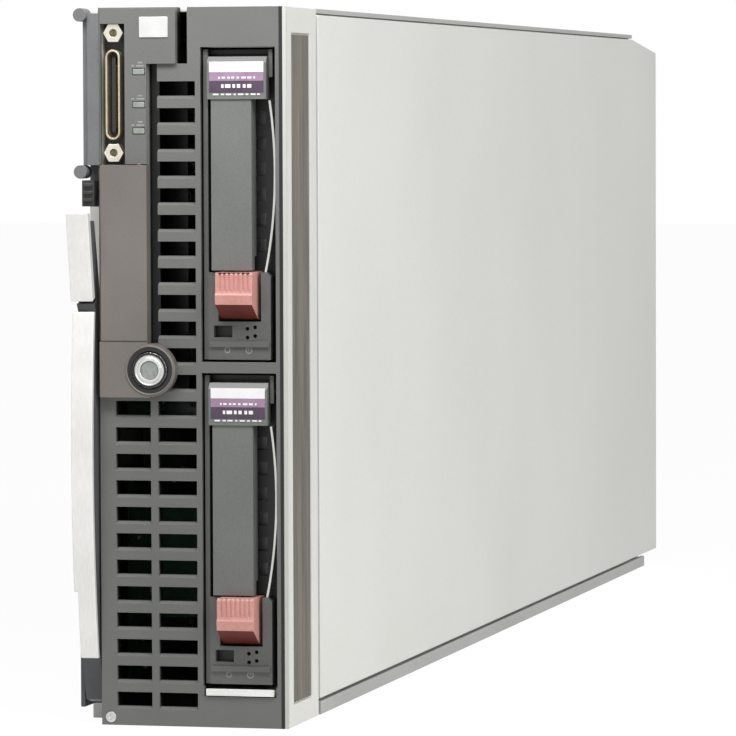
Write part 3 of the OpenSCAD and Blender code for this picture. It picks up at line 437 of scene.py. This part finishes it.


# Painted shade: a near-black ring on the plate's front round the power button stands in for the
# shade in its groove.
painted_well_shade, tree, shader, place = finish("painted_shade_in_button_well", "#121212", 0.5)
grained(tree, shader, place, "#0e0e0e", "#181818", 0.3, 0.003, 4)
cap_low, cap_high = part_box("power_button")
cap_middle = (cap_low + cap_high) / 2
cap_radius = (cap_high.z - cap_low.z) / 2


def ring_between(inner, outer):
    """A test for front faces that lie in a ring round the power button."""
    def chosen(middle, normal):
        reach = math.hypot(middle.x - cap_middle.x, middle.z - cap_middle.z)
        return normal.y < -0.9 and inner < reach < outer
    return chosen


well_wide = 1.36 * MM
second_finish(button_plate, painted_well_shade, ring_between(cap_radius, cap_radius + well_wide))

# Power button: a satin-chromed ring, dished in a lathe, round a grey translucent lens. Its outer
# rim is painted near-black as shade, like the well that it stands in.
satin_chrome, tree, shader, place = finish("satin_chrome_plating", "#dddddb", 0.28, 0.85)
grained(tree, shader, place, "#d2d2d0", "#e6e6e4", 0.3, 0.001, 5)
power_button = dress("power_button", satin_chrome, 0.12, 3)
rim_wide = 0.62 * MM
second_finish(power_button, painted_well_shade, ring_between(cap_radius - rim_wide, cap_radius))

lens_plastic, tree, shader, place = finish("moulded_grey_lens", "#8d918f", 0.3)
grained(tree, shader, place, "#7f8381", "#9a9e9c", 0.8, 0.001, 3)
shader.inputs["Coat Weight"].default_value = 0.4
dress("power_lens", lens_plastic, 0.3, 3)

# ---------------------------------------------------------------------------------------------
# Trim and latch at the top of the lever column: glass-filled nylon, moulded with a matt grain.
# The latch button is darker and ribbed for a fingertip.
# ---------------------------------------------------------------------------------------------
trim_nylon, tree, shader, place = finish("moulded_grey_nylon", "#68696b", 0.5)
grained(tree, shader, place, "#616264", "#707173", 0.3, 0.005, 14)
dress("left_trim", trim_nylon, 0.3, 3)

black_nylon, tree, shader, place = finish("moulded_black_nylon", "#2b2b2a", 0.5)
grained(tree, shader, place, "#242423", "#333332", 0.3, 0.005, 10)
dress("latch_button", black_nylon, 0.25, 3)

# ---------------------------------------------------------------------------------------------
# Release lever: a pressed steel bar in dark powder coat, on a bracket of the same finish, with
# a bright satin-chromed strip along its bow and on the flared grip.
# ---------------------------------------------------------------------------------------------
dark_coat, tree, shader, place = finish("dark_powder_coat", "#4b4c4f", 0.42)
grained(tree, shader, place, "#434447", "#545558", 0.4, 0.008, 20)
dress("release_lever", dark_coat, 0.3, 3)
dress("lever_bracket", dark_coat, 0.2)

strip_chrome, tree, shader, place = finish("satin_nickel_strip", "#ecebe8", 0.34, 0.3)
grained(tree, shader, place, "#e4e3e0", "#f2f1ee", 0.3, 0.001, 12, (1, 1, 0.1))
dress("lever_strip", strip_chrome, 0.25, 3)

# ---------------------------------------------------------------------------------------------
# Front connector: black thermoplastic body, drawn and tin-plated steel shell, hexagonal jack
# sockets, and two rows of gold-plated contacts on the tongue.
# ---------------------------------------------------------------------------------------------
black_body, tree, shader, place = finish("black_moulded_body", "#20201f", 0.45)
grained(tree, shader, place, "#1a1a19", "#282827", 0.3, 0.004, 8)
dress("io_connector_body", black_body, 0.1)

tin_shell, tree, shader, place = finish("drawn_tinned_shell", "#c9bb9f", 0.32, 0.75)
grained(tree, shader, place, "#b9aa8c", "#d8ccb3", 0.4, 0.002, 6)
dress("io_connector_shell", tin_shell, 0.12)

jack_nickel, tree, shader, place = finish("nickelled_jack_socket", "#e3ddcf", 0.25, 0.8)
grained(tree, shader, place, "#d8d1c1", "#ece7db", 0.3, 0.002, 4)
dress("io_jack_sockets", jack_nickel, 0.1)

gold_plate, tree, shader, place = finish("gold_plated_contact", "#caa75a", 0.25, 1.0)
grained(tree, shader, place, "#bf9c50", "#d6b469", 0.4, 0.001, 3)
shell_low, shell_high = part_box("io_connector_shell")
tongue_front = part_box("io_connector_body")[0].y
tongue_x = (shell_low.x + shell_high.x) / 2
tongue_half = 0.55 * MM
contact_pitch, contact_half_wide, contact_half_deep = 0.8 * MM, 0.2 * MM, 0.08 * MM
contact_y = [tongue_front + 0.5 * MM, tongue_front + 2.6 * MM]
contact_count = int((shell_high.z - shell_low.z - 6 * MM) / contact_pitch)
contacts = []
for i in range(contact_count):
    z = shell_low.z + 3.4 * MM + i * contact_pitch
    for side in (-1, 1):
        x = tongue_x + side * tongue_half
        contacts.append(((x - contact_half_deep, contact_y[0], z - contact_half_wide),
            (x + contact_half_deep, contact_y[1], z + contact_half_wide)))
plate_blocks("connector_contacts", contacts, gold_plate, "chassis", 0)

clear_pipe, tree, shader, place = finish("clear_light_pipe", "#8c918a", 0.2)
grained(tree, shader, place, "#848982", "#959a93", 0.8, 0.001, 3)
dress("light_pipes", clear_pipe, 0.15)

# ---------------------------------------------------------------------------------------------
# Circuit boards: glass-epoxy laminate under green solder resist, or under black for the board
# behind the vents. Tracks under the resist show as faint raised lines.
# ---------------------------------------------------------------------------------------------
track_mm = 1.3


def board_laminate(name, resist, copper):
    """Green resist over copper tracks, drawn in the board's own plane of Y and Z."""
    material, tree, shader, place = finish(name, resist, 0.32)
    lines = add(tree, "ShaderNodeTexBrick", {"Vector": add(tree, "ShaderNodeMapping",
        {"Vector": place, "Rotation": (0, math.pi / 2, 0)}).outputs[0],
        "Scale": per_mm(track_mm * 4),
        "Color1": linear(resist), "Color2": linear(copper), "Mortar": linear(copper),
        "Mortar Size": 0.012, "Brick Width": 2.6, "Row Height": 0.25}, offset=0.35, squash=1.0)
    blotch = add(tree, "ShaderNodeTexNoise", {"Vector": place, "Scale": per_mm(7), "Detail": 1.0})
    masked = add(tree, "ShaderNodeMapRange", {0: blotch.outputs[0], 1: 0.45, 2: 0.6})
    tint = add(tree, "ShaderNodeMix", {0: masked.outputs[0], 6: linear(resist),
        7: lines.outputs[0]}, data_type="RGBA")
    tree.links.new(tint.outputs[2], shader.inputs["Base Color"])
    bump = add(tree, "ShaderNodeBump", {"Height": lines.outputs[1], "Distance": 0.03 * MM,
        "Strength": 0.5})
    tree.links.new(bump.outputs[0], shader.inputs["Normal"])
    return material


green_board = board_laminate("green_solder_resist", "#1b4d34", "#2b6a4a")
for node in ("system_board", "drive_backplane", "mezzanine_cards"):
    dress(node, green_board, 0.05, 1)
black_board = board_laminate("black_solder_resist", "#101211", "#191c1a")
dress("front_board", black_board, 0.05, 1)
second_finish(nodes["system_board"], black_board, lambda middle, normal: normal.y < -0.9)

brass, tree, shader, place = finish("turned_brass", "#c8b27a", 0.3, 1.0)
grained(tree, shader, place, "#bda66c", "#d4bf8b", 0.3, 0.002, 5)
dress("standoffs", brass, 0.1)

# Small soldered parts: black moulded chips and pale ceramic capacitors.
board_low, board_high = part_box("system_board")
chip_black, tree, shader, place = finish("moulded_chip_epoxy", "#1d1d1f", 0.55)
grained(tree, shader, place, "#18181a", "#252528", 0.25, 0.004, 6)
ceramic, tree, shader, place = finish("fired_ceramic_chip", "#b49a78", 0.5)
grained(tree, shader, place, "#a68c6a", "#c2a886", 0.3, 0.002, 2)


def taken_places():
    """The YZ boxes of everything that stands on the system board."""
    names = ("processor_sockets", "heat_sink_1", "heat_sink_2", "memory_sockets", "air_baffle",
        "chipset_heat_sink", "inductors", "capacitors", "mezzanine_sockets", "mezzanine_cards",
        "cache_module", "coin_cell", "signal_connector", "power_connector", "guide_housing",
        "standoffs")
    boxes = []
    for name in names:
        for low, high in solid_boxes(nodes[name]):
            boxes.append((low.y, high.y, low.z, high.z))
    return boxes


def solid_boxes(piece):
    """The box of each loose solid in a mesh."""
    mesh = bmesh.new()
    mesh.from_mesh(piece.data)
    bmesh.ops.remove_doubles(mesh, verts=mesh.verts, dist=0.001 * MM)
    left = set(mesh.verts)
    while left:
        group, edge = set(), [left.pop()]
        while edge:
            vert = edge.pop()
            group.add(vert)
            for link in vert.link_edges:
                other = link.other_vert(vert)
                if other in left:
                    left.discard(other)
                    edge.append(other)
        corners = [v.co for v in group]
        yield (Vector(min(c[i] for c in corners) for i in range(3)),
            Vector(max(c[i] for c in corners) for i in range(3)))
    mesh.free()


chip_sizes, ceramic_size = ((9, 6), (6, 6), (5, 4)), (1.6, 0.9)  # in mm
chip_tall, ceramic_tall = 1.4, 0.8
chip_share = 0.12
spread_y = [board_low.y + 8 * MM, board_high.y - 26 * MM]
spread_z = [board_low.z + 4 * MM, board_high.z - 6 * MM]
margin = 0.8 * MM
notch_end, notch_z, notch_half = board_low.y + 21 * MM, 68 * MM, 9 * MM
sunk = 0.02 * MM

random.seed(7)
taken = taken_places()
chips, ceramics = [], []
for _ in range(900):
    is_chip = random.random() < chip_share
    wide, tall = random.choice(chip_sizes) if is_chip else ceramic_size
    if random.random() < 0.5:
        wide, tall = tall, wide
    y, z = random.uniform(*spread_y), random.uniform(*spread_z)
    reach_y, reach_z = wide / 2 * MM + margin, tall / 2 * MM + margin
    if any(y + reach_y > b[0] and y - reach_y < b[1] and z + reach_z > b[2] and z - reach_z < b[3]
            for b in taken):
        continue
    if y - reach_y < notch_end and abs(z - notch_z) < notch_half + reach_z:
        continue
    taken.append((y - reach_y, y + reach_y, z - reach_z, z + reach_z))
    high = chip_tall if is_chip else ceramic_tall
    low_corner = (board_high.x - sunk, y - wide / 2 * MM, z - tall / 2 * MM)
    high_corner = (board_high.x + high * MM, y + wide / 2 * MM, z + tall / 2 * MM)
    (chips if is_chip else ceramics).append((low_corner, high_corner))
plate_blocks("board_chips", chips, chip_black, "chassis", 0.1, 1)
plate_blocks("board_ceramics", ceramics, ceramic, "chassis", 0)

# ---------------------------------------------------------------------------------------------
# Processors: nickel-plated copper lids in glass-filled plastic sockets, under heat sinks of folded
# aluminium fins soldered to a base.
# ---------------------------------------------------------------------------------------------
socket_plastic, tree, shader, place = finish("glass_filled_socket", "#d6d0c0", 0.5)
grained(tree, shader, place, "#ccc6b6", "#dfd9ca", 0.4, 0.004, 9)
dress("processor_sockets", socket_plastic, 0.2)

lid_nickel, tree, shader, place = finish("nickelled_copper_lid", "#b9babc", 0.3, 1.0)
grained(tree, shader, place, "#aeafb1", "#c4c5c7", 0.5, 0.002, 9)
dress("processors", lid_nickel, 0.2)

fin_aluminium, tree, shader, place = finish("bare_fin_aluminium", "#c4c6c8", 0.3, 1.0)
grained(tree, shader, place, "#b6b8ba", "#d0d2d4", 0.3, 0.002, 20, (1, 0.05, 1))
for node in ("heat_sink_1", "heat_sink_2", "chipset_heat_sink"):
    dress(node, fin_aluminium, 0)

# ---------------------------------------------------------------------------------------------
# Memory: black sockets with end latches, and green modules whose two sides carry a row of black
# moulded chips.
# ---------------------------------------------------------------------------------------------
socket_black, tree, shader, place = finish("black_socket_polymer", "#262629", 0.45)
grained(tree, shader, place, "#202023", "#2e2e31", 0.3, 0.004, 10)
for node in ("memory_sockets", "mezzanine_sockets", "backplane_sockets"):
    dress(node, socket_black, 0.15, 1)

module_green, tree, shader, place = finish("module_solder_resist", "#20583c", 0.35)
grained(tree, shader, place, "#1b4f35", "#296747", 0.5, 0.003, 6)
modules = dress("memory_modules", module_green, 0.05, 1)
module_planes = [(low.z + high.z) / 2 for low, high in solid_boxes(modules)]
module_skin = 0.7 * MM
second_finish(modules, chip_black,
    lambda middle, normal: min(abs(middle.z - z) for z in module_planes) > module_skin)

# ---------------------------------------------------------------------------------------------
# Air baffle: black-grey polycarbonate sheet with a light grain, thermoformed over the upper
# memory bank. Windows are punched in its top.
# ---------------------------------------------------------------------------------------------
baffle_sheet, tree, shader, place = finish("thermoformed_polycarbonate", "#3a3d42", 0.4)
grained(tree, shader, place, "#33363b", "#42454a", 0.6, 0.01, 25)
dress("air_baffle", baffle_sheet, 0.5, 3)

# ---------------------------------------------------------------------------------------------
# Supply parts: pressed ferrite inductors, sleeved aluminium cans, the cache module with its
# battery, and a stainless coin cell.
# ---------------------------------------------------------------------------------------------
ferrite, tree, shader, place = finish("pressed_ferrite", "#56585b", 0.6)
grained(tree, shader, place, "#4c4e51", "#616366", 0.4, 0.01, 4)
dress("inductors", ferrite, 0.4)

can_sleeve, tree, shader, place = finish("sleeved_aluminium_can", "#7d8496", 0.35, 0.5)
grained(tree, shader, place, "#727989", "#8a91a2", 0.5, 0.002, 5)
dress("capacitors", can_sleeve, 0.4)

dress("cache_module", green_board, 0.2)

cell_steel, tree, shader, place = finish("stainless_coin_cell", "#c7c9cb", 0.28, 1.0)
grained(tree, shader, place, "#bcbec0", "#d2d4d6", 0.3, 0.001, 6)
dress("coin_cell", cell_steel, 0.3)

# ---------------------------------------------------------------------------------------------
# Rear connectors: black liquid-crystal polymer blocks, and die-cast guide housings with a bead-
# blasted skin.
# ---------------------------------------------------------------------------------------------
for node in ("signal_connector", "power_connector"):
    dress(node, black_body, 0.15)

cast_zinc, tree, shader, place = finish("blasted_die_casting", "#a9abae", 0.42, 0.8)
grained(tree, shader, place, "#9c9ea1", "#b6b8bb", 0.35, 0.012, 8)
dress("guide_housing", cast_zinc, 0.3)

# ---------------------------------------------------------------------------------------------
# Drives: dark grey moulded carriers whose faces deep behind the front are painted near-black as
# shade, cast disks with a brushed cover, ejectors in a lighter grey with a printed label, salmon
# release buttons whose downward faces are painted dark red as shade, and a bright sprung leaf that
# earths each carrier. The print is plain bars on coloured bands.
# ---------------------------------------------------------------------------------------------
carrier_grey, tree, shader, place = finish("moulded_carrier_grey", "#5b5c5a", 0.46)
grained(tree, shader, place, "#545553", "#636462", 0.35, 0.006, 16)
# Painted shade: the carrier's faces 1.7 to 3 mm and more behind its front fade to near-black, as
# shade in its recesses.
painted_depth_shade(tree, shader, place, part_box("carrier_1")[0].y, 1.7, 3.0, "#121212")
ejector_grey, tree, shader, place = finish("moulded_ejector_grey", "#6a6c6a", 0.44)
grained(tree, shader, place, "#636563", "#727472", 0.35, 0.005, 26)
disk_cast, tree, shader, place = finish("cast_and_brushed_disk", "#b6b8ba", 0.34, 0.9)
grained(tree, shader, place, "#a9abad", "#c3c5c7", 0.4, 0.003, 30, (1, 0.1, 1))
leaf_steel, tree, shader, place = finish("sprung_stainless_leaf", "#d4d4d0", 0.25, 0.8)
grained(tree, shader, place, "#c9c9c5", "#dededa", 0.3, 0.001, 12, (1, 1, 0.1))
salmon, tree, shader, place = finish("moulded_salmon_acetal", "#cb938b", 0.42)
grained(tree, shader, place, "#c1867e", "#d59f97", 0.4, 0.004, 8)
shader.inputs["Subsurface Weight"].default_value = 0.08
shader.inputs["Subsurface Radius"].default_value = (0.001, 0.0005, 0.0004)
salmon_painted_shade, tree, shader, place = finish("salmon_painted_underside_shade", "#6b2f29", 0.45)
grained(tree, shader, place, "#602822", "#763731", 0.4, 0.004, 8)

white_label, tree, shader, place = finish("printed_label_white", "#f2eff2", 0.4)
grained(tree, shader, place, "#ebe7eb", "#f7f5f7", 0.3, 0.001, 4)
lilac_label, tree, shader, place = finish("printed_label_lilac", "#9a7f98", 0.4)
grained(tree, shader, place, "#8f738d", "#a68ca4", 0.3, 0.001, 4)
purple_label, tree, shader, place = finish("printed_label_purple", "#4a3a4d", 0.4)
grained(tree, shader, place, "#413144", "#544457", 0.3, 0.001, 4)

label_bands = (  # material, lower and upper edge below the top of the head, in mm
    (white_label, 3.9, 1.3), (lilac_label, 6.1, 3.9), (purple_label, 9.0, 6.1))
label_rows = (  # middle below the top of the head, height, first and last place, in mm
    (5.3, 0.5, 3.0, 12.6), (7.4, 0.9, 3.8, 12.0), (9.5, 0.4, 1.6, 13.8))
label_inset, label_proud, label_sunk, print_proud = 0.6 * MM, 0.12 * MM, 0.1 * MM, 0.14 * MM
shaded_underside_slope = -0.35
housing_depth = 0.6 * MM
for unit in ("1", "2"):
    drive = "drive_" + unit
    lever = "ejector_" + unit
    dress("carrier_" + unit, carrier_grey, 0.2)
    dress("disk_" + unit, disk_cast, 0.3)
    dress("ground_spring_" + unit, leaf_steel, 0.05, 1)
    dress(lever, ejector_grey, 0.25, 3)
    button = dress("drive_button_" + unit, salmon, 0.12, 2)
    # Painted shade: faces that turn downwards are coloured dark red, as shade under the button.
    second_finish(button, salmon_painted_shade, lambda middle, normal: normal.z < shaded_underside_slope)
    low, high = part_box(lever)
    left, right, top, face = low.x, high.x, high.z, low.y
    for band, (ink, lower, upper) in enumerate(label_bands):
        corners = ((left + label_inset, face - label_proud, top - lower * MM),
            (right - label_inset, face + label_sunk, top - upper * MM))
        plate_blocks(f"drive_label_{unit}_{band}", [corners], ink, lever,
            0.04, 1)
    dashes = []
    dash_random = random.Random(31)
    for z, tall, first, last in label_rows:
        x = first
        while x < last:
            long = dash_random.uniform(0.5, 1.5)
            dashes.append(bar_mark(left + x * MM, left + min(x + long, last) * MM,
                top - (z + tall / 2) * MM, top - (z - tall / 2) * MM))
            x += long + dash_random.uniform(0.35, 0.7)
    printed_marks(f"label_marks_{unit}", dashes, face - print_proud, white_label, lever,
        0.03)
    low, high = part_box("carrier_" + unit)
    icon_z = low.z + 2.4 * MM
    left_icon, right_icon = low.x + 6.2 * MM, low.x + 11.8 * MM
    icons = ring_marks(left_icon, icon_z, 0.8 * MM, 0.28 * MM, 16)
    icons += ring_marks(right_icon, icon_z, 0.9 * MM, 0.28 * MM, 16)
    icons.append(bar_mark(right_icon - stroke_half, right_icon + stroke_half, icon_z,
        icon_z + stroke_tall))
    printed_marks(f"drive_marks_{unit}", icons, low.y + housing_depth, pale_ink, drive)

# ---------------------------------------------------------------------------------------------
# Pull tab under the lower drive: a flexible white polypropylene strip for the unit's label,
# die-cut from sheet. It is left blank.
# ---------------------------------------------------------------------------------------------
tab_white, tree, shader, place = finish("white_polypropylene", "#eeeeeb", 0.45)
grained(tree, shader, place, "#e6e6e3", "#f4f4f1", 0.5, 0.003, 10)
dress("pull_tab", tab_white, 0.2)

# ---------------------------------------------------------------------------------------------
# Access panel: pre-plated steel sheet with a clear passivated skin. It is a satin off-white
# with very slight oil-canning, and its cut edges are rolled smooth.
# ---------------------------------------------------------------------------------------------
panel_steel, tree, shader, place = finish("passivated_steel_sheet", "#dededa", 0.46, 0.1)
bump = grained(tree, shader, place, "#d9d9d4", "#e2e2de", 0.5, 0.0015, 90)
slow = add(tree, "ShaderNodeTexNoise", {"Vector": place, "Scale": per_mm(130), "Detail": 0.0})
swell = add(tree, "ShaderNodeBump", {"Height": slow.outputs[0], "Distance": 0.35 * MM,
    "Strength": 1.0, "Normal": bump.outputs[0]})
tree.links.new(swell.outputs[0], shader.inputs["Normal"])
dress("access_panel", panel_steel, 0.3, 3)

# Panel latch: touch points on such servers are moulded in blue.
touch_blue, tree, shader, place = finish("moulded_blue_acetal", "#3e6fa8", 0.4)
grained(tree, shader, place, "#36659c", "#477ab4", 0.3, 0.004, 10)
dress("panel_latch", touch_blue, 0.2)
